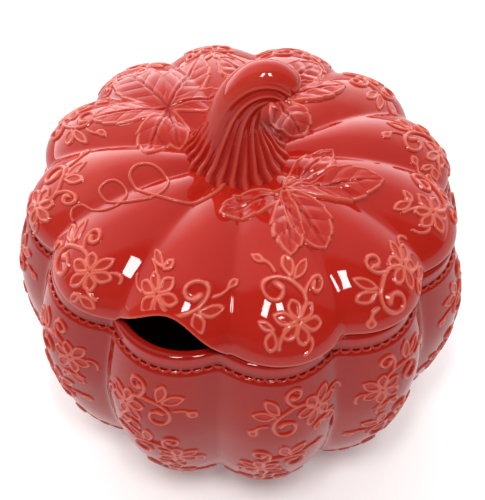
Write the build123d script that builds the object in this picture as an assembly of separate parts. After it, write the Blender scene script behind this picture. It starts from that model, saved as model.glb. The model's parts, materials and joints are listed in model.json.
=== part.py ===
from build123d import *
import os
from math import atan2, cos, exp, hypot, pi, radians, sin

# A lidded soup tureen of glazed ceramic in the shape of a ribbed pumpkin.
# Frame: +Z up, origin on the floor under the bowl's axis, -Y towards the ladle notch. Millimetres.

# ------------------------------------------------------------------ driving sizes
LOBES = 12  # ribs of the pumpkin, the same on bowl and lid
CREASE_DEPTH = 0.07  # how far a crease lies inside the crest, as a share of the crest radius

RIM_Z = 150.0  # height of the bowl's rim, on which the lid rests
BELLY_R = 127.0  # crest radius where the bowl is widest
BELLY_Z = 97.0
SHOULDER_DROP = 9.0  # from the rim down to the shoulder, where the bulging body starts
SHOULDER_R = 116.5
FLOOR_R = 68.0  # crest radius of the bowl's flat underside
FOOT_H = 5.0
FOOT_WALL = 8.0
FOOT_INSET = 4.0  # foot ring inside the creases of the underside
BELLY_ROUND = 2.27  # exponent of the bowl's lower curve; 2 is an ellipse
BOWL_WALL = 6.5

LIP_R = 114.0  # crest radius of the lip's outer face
LIP_WALL = 6.0
BORDER_H = 3.0  # beaded border around the foot of the lip
BORDER_PROUD = 2.2

LID_R = 114.5  # crest radius of the lid's edge
DOME_H = 34.5
DOME_ROUND = 2.57
DIMPLE_DEPTH = 11.0  # hollow around the stem
DIMPLE_R = 41.0
LID_WALL = 5.0
LID_TURN = 2.7  # degrees that the lid sits turned on the bowl
FLANGE_CLEARANCE = 1.5
SEAT_GAP = 0.03  # between the lid and the rim it rests on, and between the flange and the lid's hollow
FLANGE_WALL = 4.5
FLANGE_DROP = 9.0

NOTCH_W = 52.0  # ladle notch in the lid's edge
NOTCH_H = 17.5

STEM_H = 52.0  # height of the stem's centreline above its foot
STEM_FOOT_R = 25.0
STEM_RIBS = 11
STEM_GROOVE = 0.12  # groove depth as a share of the stem's radius
STEM_LEAN = 17.5  # plan angle of the plane in which the stem bends, from +X

RELIEF = 1.4  # how far sprigs and the tendril stand out of the wall
LEAF_RELIEF = 1.8
LINE = 2.0  # width of the raised lines of a sprig
TENDRIL_LINE = 2.4
OVERCUT = 4.0  # extra length on cutting tools

HALF_LOBE = 180.0 / LOBES


# ------------------------------------------------------------------ shared shapes
def polar(radius, angle):
    """Plan position: angle in degrees from -Y, growing towards +X."""
    return Vector(radius * sin(radians(angle)), -radius * cos(radians(angle)))


def lobed_face(crest, z):
    """Flat face whose outline is one arc for each rib, with a crease between ribs."""
    crease = crest * (1 - CREASE_DEPTH)
    arcs = []
    for lobe in range(LOBES):
        middle = lobe * 2 * HALF_LOBE
        ends = polar(crease, middle - HALF_LOBE), polar(crease, middle + HALF_LOBE)
        arcs.append(ThreePointArc(ends[0], polar(crest, middle), ends[1]))
    return Pos(0, 0, z) * make_face(arcs)


def offset_profile(profile, distance):
    """The profile's (radius, z) points moved along its normal; positive is outwards."""
    moved = []
    last = len(profile) - 1
    for i, (r, z) in enumerate(profile):
        before, after = profile[max(i - 1, 0)], profile[min(i + 1, last)]
        dr, dz = after[0] - before[0], after[1] - before[1]
        size = hypot(dr, dz)
        moved.append((r + distance * dz / size, z - distance * dr / size))
    return moved


def lobed_solid(profile):
    return loft([lobed_face(r, z) for r, z in profile])


def wedge(reach, low, high):
    """The sector of one rib, centred on -Y."""
    corner = reach / cos(radians(HALF_LOBE))
    outline = Polyline((0, 0), polar(corner, -HALF_LOBE), polar(corner, HALF_LOBE), close=True)
    return Pos(0, 0, low) * extrude(make_face(outline), high - low)


# ------------------------------------------------------------------ profiles, as (crest radius, z)
SHOULDER_Z = RIM_Z - SHOULDER_DROP
UPPER_STEPS, LOWER_STEPS = 4, 9


def bowl_profile():
    """From the underside up to the shoulder."""
    power = 2 / BELLY_ROUND
    points = []
    for step in range(LOWER_STEPS, 0, -1):
        a = pi / 2 * step / LOWER_STEPS
        r = FLOOR_R + (BELLY_R - FLOOR_R) * cos(a) ** power if step < LOWER_STEPS else FLOOR_R
        points.append((r, BELLY_Z - (BELLY_Z - FOOT_H) * sin(a) ** power))
    for step in range(UPPER_STEPS + 1):
        up = step / UPPER_STEPS
        r = SHOULDER_R + (BELLY_R - SHOULDER_R) * sin(pi / 2 * (1 - up))
        points.append((r, BELLY_Z + (SHOULDER_Z - BELLY_Z) * up))
    return points


def dome_z(radius):
    share = radius / LID_R
    dome = DOME_H * max(0.0, 1 - share**DOME_ROUND) ** 0.5
    at_edge = exp(-((LID_R / DIMPLE_R) ** 2))  # taken off, so that the edge lies exactly on the rim
    return RIM_Z + dome - DIMPLE_DEPTH * (exp(-((radius / DIMPLE_R) ** 2)) - at_edge)


DOME_SHARES = (1, 0.992, 0.97, 0.93, 0.87, 0.79, 0.7, 0.6, 0.5, 0.4, 0.3, 0.2, 0.1)


def lid_profile():
    """From the lid's edge up and in to the hollow under the stem."""
    return [(LID_R * share, dome_z(LID_R * share)) for share in DOME_SHARES]


# ------------------------------------------------------------------ bowl
def proud_of(profile, height):
    """The solid inside a profile that is moved outwards by height."""
    return lobed_solid(offset_profile(profile, height))


def make_bowl():
    outside = bowl_profile()
    cavity = offset_profile(outside, -BOWL_WALL)
    floor = (FLOOR_R - 2 * BOWL_WALL, FOOT_H + BOWL_WALL)
    mouth = (LIP_R - LIP_WALL, SHOULDER_Z)
    inside = [floor] + [p for p in cavity[1:-1] if p[1] > floor[1] + BOWL_WALL / 4] + [mouth]
    wall = lobed_solid(outside) - lobed_solid(inside)

    lip = extrude(lobed_face(LIP_R, SHOULDER_Z) - lobed_face(mouth[0], SHOULDER_Z), SHOULDER_DROP)
    border_r = LIP_R + BORDER_PROUD
    border = extrude(lobed_face(border_r, SHOULDER_Z) - lobed_face(LIP_R, SHOULDER_Z), BORDER_H)
    foot_r = FLOOR_R * (1 - CREASE_DEPTH) - FOOT_INSET
    foot = extrude(Circle(foot_r) - Circle(foot_r - FOOT_WALL), FOOT_H)
    return {"bowl_wall": wall, "bowl_lip": lip, "beaded_border": border, "foot_ring": foot}


# ------------------------------------------------------------------ lid
def lid_hollow(gap=0.0):
    """The room under the lid; gap keeps a fitted part this far inside it."""
    wall = LID_WALL + gap
    inner = offset_profile(lid_profile(), -wall)
    return lobed_solid([(LID_R - wall, RIM_Z)] + inner[1:])


def notch_tool():
    """Arch over the rim, and a straight drop below it that clears the flange."""
    half = NOTCH_W / 2
    low = RIM_Z - FLANGE_DROP - OVERCUT
    arch = [
        ThreePointArc((-half, RIM_Z), (0, RIM_Z + NOTCH_H), (half, RIM_Z)),
        Polyline((half, RIM_Z), (half, low), (-half, low), (-half, RIM_Z)),
    ]
    flange_r = LIP_R * (1 - CREASE_DEPTH) - LIP_WALL
    depth = LID_R + OVERCUT - flange_r * cos(radians(2 * HALF_LOBE))
    front = Plane(origin=(0, -LID_R - OVERCUT, 0), x_dir=(1, 0, 0), z_dir=(0, -1, 0))
    return extrude(front * make_face(arch), -depth)


def make_flange():
    outer_r = (LIP_R - LIP_WALL) * (1 - CREASE_DEPTH) - FLANGE_CLEARANCE
    tube = Circle(outer_r) - Circle(outer_r - FLANGE_WALL)
    low = Pos(0, 0, RIM_Z - FLANGE_DROP) * extrude(tube, FLANGE_DROP)
    high = Pos(0, 0, RIM_Z) * extrude(tube, DOME_H)
    return low + (high & lid_hollow(SEAT_GAP))


# The stem from below its foot to its tip: height as a share of STEM_H, sideways shift,
# radius as a share of STEM_FOOT_R, and tilt of the section in degrees.
STEM_STATIONS = (
    (-0.14, -6.0, 1.1, 0),
    (0.0, -6.0, 1.0, 0),
    (0.14, -6.5, 0.81, -1),
    (0.36, -6.5, 0.6, 2),
    (0.58, -4.5, 0.46, 10),
    (0.80, 0.0, 0.43, 34),
    (0.97, 7.0, 0.44, 66),
    (1.0, 15.0, 0.42, 96),
    (0.93, 22.5, 0.33, 112),
)
STEM_TWIST = 9.0  # degrees of rib twist from each station to the next


def ribbed_face(radius, turn):
    groove = radius * (1 - STEM_GROOVE)
    half = 180.0 / STEM_RIBS
    arcs = []
    for rib in range(STEM_RIBS):
        middle = turn + rib * 2 * half
        ends = polar(groove, middle - half), polar(groove, middle + half)
        arcs.append(ThreePointArc(ends[0], polar(radius, middle), ends[1]))
    return make_face(arcs)


def make_stem(lid_solid):
    foot_z = dome_z(0)
    sections = []
    for i, (up, shift, share, tilt) in enumerate(STEM_STATIONS):
        place = Rot(0, 0, STEM_LEAN) * Pos(shift, 0, foot_z + up * STEM_H) * Rot(0, tilt, 0)
        sections.append(place * ribbed_face(share * STEM_FOOT_R, i * STEM_TWIST))
    return loft(sections) - lid_solid


# ------------------------------------------------------------------ flat motifs
def blade(start, stop, width):
    """A pointed oval along +v."""
    half, middle = width / 2, (start + stop) / 2
    right = ThreePointArc((0, start), (half, middle), (0, stop))
    left = ThreePointArc((0, stop), (-half, middle), (0, start))
    return make_face([right, left])


def arc_line(centre, radius, start, sweep, width=LINE):
    """A raised line along an arc; angles in degrees from +u, anticlockwise."""
    outer, inner = radius + width / 2, radius - width / 2

    def at(r, angle):
        return (centre[0] + r * cos(radians(angle)), centre[1] + r * sin(radians(angle)))

    stop, middle = start + sweep, start + sweep / 2
    edges = [
        ThreePointArc(at(outer, start), at(outer, middle), at(outer, stop)),
        Line(at(outer, stop), at(inner, stop)),
        ThreePointArc(at(inner, stop), at(inner, middle), at(inner, start)),
        Line(at(inner, start), at(outer, start)),
    ]
    return make_face(edges)


def joined(faces):
    face = faces[0]
    for other in faces[1:]:
        face += other
    return face


PETALS = 6
PETAL_L, PETAL_W = 10.5, 5.8
STALK_L, STALK_W = 20.0, 3.0
LEAFLET_L, LEAFLET_W = 12.0, 5.8
FLOWER_R = 3.0
SCROLLS = (((-7, 13), 7.0, -40, 230), ((6, 8), 6.0, 170, -200))  # arcs, as in arc_line


def sprig_face():
    """A flower at the origin with a scroll and a leaf on each side of its stalk."""
    faces = [Circle(FLOWER_R), blade(0, STALK_L, STALK_W)]
    for petal in range(PETALS):
        faces.append(Rot(0, 0, (petal + 0.5) * 360.0 / PETALS) * blade(0, PETAL_L, PETAL_W))
    faces += [arc_line(*scroll) for scroll in SCROLLS]
    for base, turn in (((0, 13), -40), ((-3, -7), 140)):
        faces.append(Pos(*base) * Rot(0, 0, turn) * blade(0, LEAFLET_L, LEAFLET_W))
    return joined(faces)


# ------------------------------------------------------------------ sprigs, laid on one rib each
def rib_plane(profile, height):
    """The plane that touches the crest of the front rib at this height, with +v uphill."""
    low, high = next((a, b) for a, b in zip(profile, profile[1:]) if a[1] <= height <= b[1])
    share = (height - low[1]) / (high[1] - low[1])
    radius = low[0] + share * (high[0] - low[0])
    slope = atan2(low[0] - high[0], high[1] - low[1])
    outward = (0, -cos(slope), sin(slope))
    return Plane(origin=(0, -radius, height), x_dir=(1, 0, 0), z_dir=outward)


# Where each sprig's flower lies in its rib's plane (across, up) and how the sprig is turned,
# for the twelve ribs from the front one on, anticlockwise seen from above.
LID_LAYINGS = (
    ((-10, 3), -62),
    ((4, -5), 12),
    ((12, -4), 78),
    ((-3, -2), -98),
    ((-8, -9), -38),
    ((8, -2), 70),
    ((-9, -4), -70),
    ((4, -5), 12),
    ((12, -4), 78),
    ((-8, -9), -38),
    ((2, -12), -12),
    ((8, -5), 66),
)
UPPER_LAYINGS = (
    ((-12, -9), -48),
    ((14, -6), 62),
    ((-10, -7), -58),
    ((14, -6), 62),
    ((-12, -9), -48),
    ((-2, -10), 0),
    ((-10, -7), -58),
    ((14, -6), 62),
    ((-12, -9), -48),
    ((-2, -10), 0),
    ((-10, -7), -58),
    ((16, -12), 48),
)
LOWER_LAYINGS = (((12, 2), 88), ((-6, -4), -40), ((-12, 1), -85)) * 4
UPPER_ROW_Z = 120.0
LOWER_ROW_Z = 80.0
LID_ROW_RISE = 24.0  # height of the lid's row of sprigs above the rim
SPRIG_REACH = 18.0  # how far a flat sprig is pushed both ways, more than a rib is curved


def lay_sprigs(layer, plane, layings):
    """One sprig for each rib, pushed through the front rib's relief layer and turned into place."""
    shaped = {}
    placed = []
    for rib, (flower, turn) in enumerate(layings):
        if (flower, turn) not in shaped:
            face = plane * (Pos(*flower) * Rot(0, 0, turn) * sprig_face())
            shaped[flower, turn] = extrude(face, SPRIG_REACH, both=True) & layer
        placed.append(Rot(0, 0, 2 * HALF_LOBE * rib) * shaped[flower, turn])
    return placed


def make_bowl_sprigs():
    profile = bowl_profile()
    layer = proud_of(profile, RELIEF) - lobed_solid(profile)
    layer &= wedge(BELLY_R + OVERCUT, FOOT_H, SHOULDER_Z - OVERCUT / 2)
    nodes = {}
    for row, height, layings in (
        ("upper", UPPER_ROW_Z, UPPER_LAYINGS),
        ("lower", LOWER_ROW_Z, LOWER_LAYINGS),
    ):
        for rib, sprig in enumerate(lay_sprigs(layer, rib_plane(profile, height), layings)):
            nodes[f"bowl_{row}_sprig_{rib + 1:02d}"] = sprig
    return nodes


# ------------------------------------------------------------------ leaves and tendril, seen from above
# Each leaf: where its lobes meet, and each lobe's length, width and direction in degrees from +X.
LEAVES = {
    "leaf_left": (
        (-48.6, 16.5),
        ((41, 20, -153), (55, 26, 144), (50, 24, 89), (31, 20, 40), (37, 22, -79)),
    ),
    "leaf_right": ((2, 45), ((46, 22, 151), (42, 22, 69), (40, 22, 35), (34, 22, -46))),
    "leaf_front": (
        (27.6, -20.7),
        ((39, 18, 67), (51, 22, 27), (39, 19, -43), (42, 16, -68), (36, 17, -133)),
    ),
}


def leaf_face(centre, lobes):
    blades = [Rot(0, 0, heading - 90) * blade(-4, length, width) for length, width, heading in lobes]
    return Pos(*centre) * joined([Circle(7.0)] + blades)


# The tendril's arcs: centre, radius, start and sweep in degrees from +X.
TENDRIL_ARCS = (
    ((-19.0, -29.0), 17.5, -20, -85),
    ((-31.0, -38.0), 10.5, 0, 359),
    ((-50.0, -49.5), 7.5, 0, 359),
    ((-37.0, -43.0), 10.5, -50, -90),
    ((-60.0, -65.0), 8.0, 60, 90),
)


def tendril_face():
    return joined([arc_line(*arc, width=TENDRIL_LINE) for arc in TENDRIL_ARCS])


def through_lid(face):
    return Pos(0, 0, RIM_Z) * extrude(face, DOME_H + OVERCUT)


def make_lid():
    profile = lid_profile()
    solid = lobed_solid(profile)
    notch = notch_tool()
    stem = make_stem(solid)
    nodes = {
        "lid_wall": solid - lid_hollow() - notch,
        "lid_flange": make_flange() - notch,
        "stem_handle": stem,
    }
    leaf_layer = proud_of(profile, LEAF_RELIEF) - solid - stem
    covered = []
    for name, (centre, lobes) in LEAVES.items():
        nodes[name] = (through_lid(leaf_face(centre, lobes)) & leaf_layer) - covered
        covered.append(nodes[name])
    sprig_layer = proud_of(profile, RELIEF) - solid
    nodes["tendril"] = (through_lid(tendril_face()) & sprig_layer) - stem - covered
    covered.append(nodes["tendril"])

    sprig_layer &= wedge(LID_R + OVERCUT, RIM_Z, RIM_Z + DOME_H + OVERCUT)
    plane = rib_plane(profile, RIM_Z + LID_ROW_RISE)
    for rib, sprig in enumerate(lay_sprigs(sprig_layer, plane, LID_LAYINGS)):
        cut = [notch] + covered if rib == 0 else covered
        nodes[f"lid_sprig_{rib + 1:02d}"] = sprig - cut
    return {name: Pos(0, 0, SEAT_GAP) * Rot(0, 0, LID_TURN) * node for name, node in nodes.items()}


# ------------------------------------------------------------------ all pieces
os.makedirs("parts", exist_ok=True)
for name, node in {**make_bowl(), **make_bowl_sprigs(), **make_lid()}.items():
    export_step(node, f"parts/{name}.step")
    print(name, round(node.volume, 1), "mm3 in", len(node.solids()), "solids")
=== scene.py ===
# %% [markdown]
# # A pumpkin soup tureen in red glazed ceramic
# The real tureen is two fired pieces: a ribbed bowl, and a ribbed lid with a ladle notch and a stem for
# a handle. Leaves, a tendril and flower sprigs stand out of the wall under one thick glossy glaze.
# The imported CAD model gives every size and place; this file gives the soft, glazed surface.

# %% Load the frame
import json
import math

import bmesh
import bpy
import numpy as np
from mathutils import Matrix, Vector

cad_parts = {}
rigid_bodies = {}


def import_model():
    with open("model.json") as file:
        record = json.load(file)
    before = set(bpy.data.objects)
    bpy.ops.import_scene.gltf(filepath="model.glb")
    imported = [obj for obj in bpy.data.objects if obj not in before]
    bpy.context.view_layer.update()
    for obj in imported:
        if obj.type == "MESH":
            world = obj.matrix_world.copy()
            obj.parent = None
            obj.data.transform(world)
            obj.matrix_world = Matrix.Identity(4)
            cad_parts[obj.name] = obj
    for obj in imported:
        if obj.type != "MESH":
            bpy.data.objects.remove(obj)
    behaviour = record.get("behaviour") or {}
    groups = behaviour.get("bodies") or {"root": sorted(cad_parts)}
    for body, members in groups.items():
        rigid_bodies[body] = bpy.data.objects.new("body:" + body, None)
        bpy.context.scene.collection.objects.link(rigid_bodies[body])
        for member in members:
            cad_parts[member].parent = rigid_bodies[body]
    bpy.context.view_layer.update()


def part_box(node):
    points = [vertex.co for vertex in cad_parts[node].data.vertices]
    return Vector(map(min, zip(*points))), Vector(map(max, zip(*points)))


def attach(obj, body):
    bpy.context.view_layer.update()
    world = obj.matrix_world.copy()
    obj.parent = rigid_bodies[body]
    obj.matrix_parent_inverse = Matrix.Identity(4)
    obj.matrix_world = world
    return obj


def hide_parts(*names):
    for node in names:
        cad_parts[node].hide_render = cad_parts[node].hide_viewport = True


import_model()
MM = 0.001

# %% [markdown]
# The driving sizes are read from the CAD nodes' boxes, so the looks follow the model if it changes.
# Everything below is worked out in millimetres and turned into metres as each mesh is made.


# %% Sizes from the frame
def extent(node):
    low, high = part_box(node)
    return low / MM, high / MM


RIM_Z = extent("bowl_lip")[1].z
SHOULDER_Z = extent("bowl_lip")[0].z
LIP_R = extent("bowl_lip")[1].x
BELLY_R = extent("bowl_wall")[1].x
FOOT_H = extent("bowl_wall")[0].z
FOOT_R = extent("foot_ring")[1].x
BORDER_R = extent("beaded_border")[1].x
FLANGE_R = extent("lid_flange")[1].x
FLANGE_LOW = extent("lid_flange")[0].z
STEM_TOP = extent("stem_handle")[1].z
LID_R = 114.5  # crest radius of the lid's edge
LIP_WALL, BOWL_WALL, LID_WALL, FLANGE_WALL, FOOT_WALL = 6.0, 6.5, 5.0, 4.5, 8.0
print(f"rim {RIM_Z:.1f}, belly radius {BELLY_R:.1f}, stem top {STEM_TOP:.1f} mm")

# %% [markdown]
# ## The rib rule
# A pumpkin's ribs are one rule: the radius swells at each crest and drops in a soft valley at each
# crease. Writing it once as a function of the angle keeps bowl, lid, border and reliefs in step.

# %% The rib rule
RIBS = 12
CREASE = 0.07  # depth of a crease, as a share of the radius
LID_TURN = 2.7  # degrees that the lid sits turned on the bowl
LID_DROP = 3.0  # how far the lid's creases sink, as the dome is too flat there to show them otherwise
SOFT_RIM, SOFT_TOP = 0.07, 0.14  # roundness of a crease at the rim, and near the middle


def softness(radius, outer):
    return SOFT_RIM + SOFT_TOP * (1 - np.clip(radius / outer, 0, 1)) ** 1.5


def valley(angle, soft):
    """How deep in a crease an angle in degrees from a crest lies: 0 at the crest, 1 in the crease."""
    share = np.asarray(angle) * RIBS / 360.0
    from_crease = 1 - 2 * np.abs(share - np.round(share))
    eased = (np.sqrt(from_crease**2 + soft**2) - soft) / (np.sqrt(1 + soft**2) - soft)
    return (1 - eased) ** 2


def rib_factor(angle, soft):
    """What a crest radius is multiplied by."""
    return 1 - CREASE * valley(angle, soft)


def lid_drop(radius, angle):
    """How far the lid's creases lie below its crests: none at the edge and at the middle."""
    share = np.clip(np.asarray(radius) / LID_R, 0, 1)
    return LID_DROP * valley(angle, softness(radius, LID_R)) * np.clip(3 * share, 0, 1) * (1 - share**4)


print("factor at crest and crease:", rib_factor(0, SOFT_RIM), rib_factor(15, SOFT_RIM))

# %% [markdown]
# The same rule as a Geometry Nodes tree. A plain turned form goes in, as if thrown on a wheel, and the
# tree pushes each point in towards the axis by the rib factor. Named inputs hold the sizes, so the one
# tree ribs the bowl, its lip and the lid.


# %% Helpers for node trees
def new_tree(name, inputs):
    """A Geometry Nodes tree with a geometry input, named inputs with a glaze last, and an output."""
    tree = bpy.data.node_groups.new(name, "GeometryNodeTree")
    tree.interface.new_socket("Geometry", in_out="INPUT", socket_type="NodeSocketGeometry")
    for label, kind, value in [*inputs, ("Glaze", "Material", None)]:
        socket = tree.interface.new_socket(label, in_out="INPUT", socket_type="NodeSocket" + kind)
        if value is not None:
            socket.default_value = value
    tree.interface.new_socket("Geometry", in_out="OUTPUT", socket_type="NodeSocketGeometry")
    return tree, tree.nodes.new("NodeGroupInput").outputs


def connect(tree, node, links):
    """Links or sets a node's inputs; a link is (input, source), where a source is a socket or a value."""
    for label, source in links:
        source = getattr(source, "socket", source)
        if isinstance(source, bpy.types.NodeSocket):
            tree.links.new(source, node.inputs[label])
        else:
            node.inputs[label].default_value = source


def add(tree, kind, links=(), output=0, **settings):
    """Adds a node with its settings made and its inputs connected; returns one output socket."""
    node = tree.nodes.new(kind)
    for key, value in settings.items():
        setattr(node, key, value)
    connect(tree, node, links)
    return node.outputs[output]


def end_tree(tree, entry, source):
    """Makes instances real, gives the mesh its glaze and ends the tree."""
    real = add(tree, "GeometryNodeRealizeInstances", [(0, source)])
    glazed = add(tree, "GeometryNodeSetMaterial", [(0, real), ("Material", entry["Glaze"])])
    connect(tree, tree.nodes.new("NodeGroupOutput"), [(0, glazed)])
    return tree


class Number:
    """A number in a node tree: arithmetic on it adds Math nodes, so a rule reads as it is written."""

    def __init__(self, tree, socket):
        self.tree, self.socket = tree, socket

    def maths(self, operation, other=0.0):
        node = add(self.tree, "ShaderNodeMath", [(0, self), (1, other)], operation=operation)
        return Number(self.tree, node)

    def __rsub__(self, other):
        return self.maths("MULTIPLY", -1.0) + other


SIGNS = {"add": "ADD", "sub": "SUBTRACT", "mul": "MULTIPLY", "truediv": "DIVIDE", "pow": "POWER"}
for sign, operation in SIGNS.items():
    setattr(Number, f"__{sign}__", lambda a, b, operation=operation: a.maths(operation, b))


def put(name, data):
    """An object that shows this data, linked to the scene."""
    made = bpy.data.objects.new(name, data)
    bpy.context.scene.collection.objects.link(made)
    return made


def run_tree(piece, tree, **values):
    """Runs a tree on a piece, with inputs set by name; a plain mesh with the result takes its place."""
    modifier = piece.modifiers.new(tree.name, "NODES")
    modifier.node_group = tree
    for item in tree.interface.items_tree:
        label = item.name.replace(" ", "_")
        if item.in_out == "INPUT" and label in values:
            modifier[item.identifier] = values[label]
    bpy.context.view_layer.update()
    evaluated = piece.evaluated_get(bpy.context.evaluated_depsgraph_get())
    mesh = bpy.data.meshes.new_from_object(evaluated)
    piece.modifiers.remove(modifier)
    name = piece.name
    bpy.data.batch_remove([piece, piece.data])
    mesh.name = name
    return put(name, mesh)


print("signs that become Math nodes:", list(SIGNS))

# %% [markdown]
# The tree repeats the two functions above step by step, with a Math node for each sign.


# %% The rib tree
def make_rib_tree():
    sizes = ("Turn", 0.0), ("Outer Radius", 0.1), ("Drop", 0.0)
    rule = ("Crease", CREASE), ("Soft Rim", SOFT_RIM), ("Soft Top", SOFT_TOP)
    tree, entry = new_tree("ribs", [(label, "Float", value) for label, value in sizes + rule])
    turn_by, outer, drop, crease, soft_rim, soft_top = (Number(tree, socket) for socket in entry[1:7])
    place = add(tree, "ShaderNodeSeparateXYZ", [(0, add(tree, "GeometryNodeInputPosition"))])
    x, y, z = (Number(tree, socket) for socket in place.node.outputs)
    angle = x.maths("ARCTAN2", y * -1.0)
    share = (angle - turn_by.maths("RADIANS")) * (RIBS / (2 * math.pi))
    from_crease = 1.0 - (share - share.maths("ROUND")).maths("ABSOLUTE") * 2.0
    radius = (x**2.0 + y**2.0).maths("SQRT")
    inside = (radius / outer).maths("MINIMUM", 1.0)
    soft = (1.0 - inside) ** 1.5 * soft_top + soft_rim
    eased = ((from_crease**2.0 + soft**2.0).maths("SQRT") - soft) / ((soft**2.0 + 1.0).maths("SQRT") - soft)
    deep = (1.0 - eased) ** 2.0
    factor = 1.0 - deep * crease
    sunk = deep * (inside * 3.0).maths("MINIMUM", 1.0) * (1.0 - inside**4.0) * drop
    moved = add(tree, "ShaderNodeCombineXYZ", [(0, x * factor), (1, y * factor), (2, z - sunk)])
    placed = add(tree, "GeometryNodeSetPosition", [("Geometry", entry[0]), ("Position", moved)])
    return end_tree(tree, entry, placed)


rib_tree = make_rib_tree()
print("rib tree nodes:", len(rib_tree.nodes))

# %% [markdown]
# ## The glaze
# The red is a coloured glass over a pale body. Where it lies thick, in hollows, it is deep red; where
# it runs thin, over raised lines and edges, the pale body shows through as coral. Each mesh therefore
# carries a point attribute called lift, from -1 in a hollow to 1 on a ridge, and the glaze reads it.
# Lift also holds painted shade and painted highlight: the darker bowl, the lip's dark top edge, the dark
# feet of raised lines and the lid's pale edge.
# A clear coat gives the wet gloss, and slow noise gives the small unevenness of a dipped glaze.


# %% Helpers for materials
def new_material(name):
    """A material with its node tree, its shader and the piece's own coordinates."""
    material = bpy.data.materials.new(name)
    material.use_nodes = True
    tree = material.node_tree
    place = add(tree, "ShaderNodeTexCoord", output="Object")
    return material, tree, tree.nodes["Principled BSDF"], place


def ramp(tree, source, stops):
    """A colour ramp through stops of (position, colour)."""
    socket = add(tree, "ShaderNodeValToRGB", [(0, source)])
    elements = socket.node.color_ramp.elements
    for element, (at, colour) in zip(elements, (stops[0], stops[-1])):
        element.position, element.color = at, (*colour, 1)
    for at, colour in stops[1:-1]:
        elements.new(at).color = (*colour, 1)
    return socket


def noise(tree, place, scale, detail):
    """A noise texture's value at each place."""
    return add(tree, "ShaderNodeTexNoise", [("Vector", place), ("Scale", scale), ("Detail", detail)])


# %% [markdown]
# The coat is what shines. The red under it has no gloss of its own, only a colour that follows lift and
# a slow noise, and a faint bump that makes mirrored edges waver a little.

# %% The glaze material
# Ramp colours: the dark end is thick glaze and also painted shade, the pale end thin glaze and also painted
# highlight.
THICK_GLAZE_AND_SHADE, MIDDLE, THIN_GLAZE_AND_HIGHLIGHT = (0.25, 0.006, 0.003), (0.43, 0.014, 0.007), (0.68, 0.140, 0.090)


def make_glaze():
    material, tree, shader, place = new_material("red_glaze")
    lift = Number(tree, add(tree, "ShaderNodeAttribute", output="Fac", attribute_name="lift"))
    drift = (Number(tree, noise(tree, place, 22.0, 3.0)) - 0.5) * 0.5
    share = (lift + drift) * 0.5 + 0.5
    colour = ramp(tree, share, [(0.1, THICK_GLAZE_AND_SHADE), (0.5, MIDDLE), (0.95, THIN_GLAZE_AND_HIGHLIGHT)])
    grain = [(0, noise(tree, place, 160.0, 2.0)), (3, 0.16), (4, 0.30)]
    peel = [("Height", noise(tree, place, 95.0, 1.0)), ("Strength", 0.25), ("Distance", 0.0004)]
    bump = add(tree, "ShaderNodeBump", peel)
    links = [("Base Color", colour), ("Roughness", add(tree, "ShaderNodeMapRange", grain))]
    links += [("Normal", bump), ("Coat Normal", bump), ("Specular IOR Level", 0.0)]
    links += [("Coat Weight", 0.75), ("Coat Roughness", 0.03), ("Coat IOR", 1.47)]
    connect(tree, shader, links)
    return material


red_glaze = make_glaze()
print("glaze:", red_glaze.name)

# %% [markdown]
# ## Turned shells
# Bowl, lip, foot, flange and lid are all turned forms: a profile of radius and height, carried round the
# axis as rings of vertices. A closed profile gives a wall with a real thickness, inside and outside.


# %% Making meshes
def new_piece(name, verts, faces, glaze, lift):
    """A mesh object from points in millimetres, with the glaze and its lift attribute."""
    mesh = bpy.data.meshes.new(name)
    mesh.from_pydata((np.asarray(verts) * MM).tolist(), [], faces)
    mesh.polygons.foreach_set("use_smooth", [True] * len(mesh.polygons))
    mesh.attributes.new("lift", "FLOAT", "POINT").data.foreach_set("value", np.asarray(lift, np.float32))
    mesh.materials.append(glaze)
    mesh.update()
    return put(name, mesh)


def grid_faces(rows, columns, wrap_columns=False, wrap_rows=False):
    """The faces of a grid of points, which may close on itself either way."""
    index = np.arange(rows * columns).reshape(rows, columns)
    index = np.hstack([index, index[:, :1]]) if wrap_columns else index
    index = np.vstack([index, index[:1]]) if wrap_rows else index
    corners = index[:-1, :-1], index[:-1, 1:], index[1:, 1:], index[1:, :-1]
    return np.stack(corners, axis=-1).reshape(-1, 4).tolist()


def tidy_mesh(piece, merge=0.02):
    """Merges points closer than merge millimetres and turns all faces outwards."""
    work = bmesh.new()
    work.from_mesh(piece.data)
    bmesh.ops.remove_doubles(work, verts=work.verts, dist=merge * MM)
    bmesh.ops.dissolve_degenerate(work, edges=work.edges, dist=merge * MM / 10)
    bmesh.ops.recalc_face_normals(work, faces=work.faces)
    work.to_mesh(piece.data)
    work.free()
    piece.data.polygons.foreach_set("use_smooth", [True] * len(piece.data.polygons))
    return piece


def around(radius, z, degrees):
    """Points at these radii and heights, at angles from the front."""
    a = np.radians(degrees)
    return np.stack(np.broadcast_arrays(radius * np.sin(a), -radius * np.cos(a), z), axis=-1)


def turned_rings(profile, angles):
    """Rings of points: profile rows of (radius, z), or one profile for each angle."""
    profile = np.asarray(profile, float)
    profile = profile[:, None, :] if profile.ndim == 2 else profile
    return around(profile[..., 0], profile[..., 1], angles)


def turn(name, profile, glaze, columns=720, closed=False, lift=0.0):
    """A full turned form; closed joins the profile's last row to its first."""
    angles = np.arange(columns) * 360.0 / columns
    rings = turned_rings(profile, angles)
    faces = grid_faces(len(rings), columns, wrap_columns=True, wrap_rows=closed)
    lift = np.broadcast_to(lift, len(rings))
    return tidy_mesh(new_piece(name, rings.reshape(-1, 3), faces, glaze, np.repeat(lift, columns)))


def lengths(points):
    """The distance along a polyline to each of its points."""
    return np.concatenate([[0], np.cumsum(np.linalg.norm(np.diff(points, axis=0), axis=1))])


def points_at(points, at):
    """The points of a polyline at these distances along it."""
    run = lengths(points)
    return np.column_stack([np.interp(at, run, column) for column in points.T])


def evenly(points, count):
    """The same polyline as this many points, evenly spaced along it."""
    return points_at(points, np.linspace(0, lengths(points)[-1], count))


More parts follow.
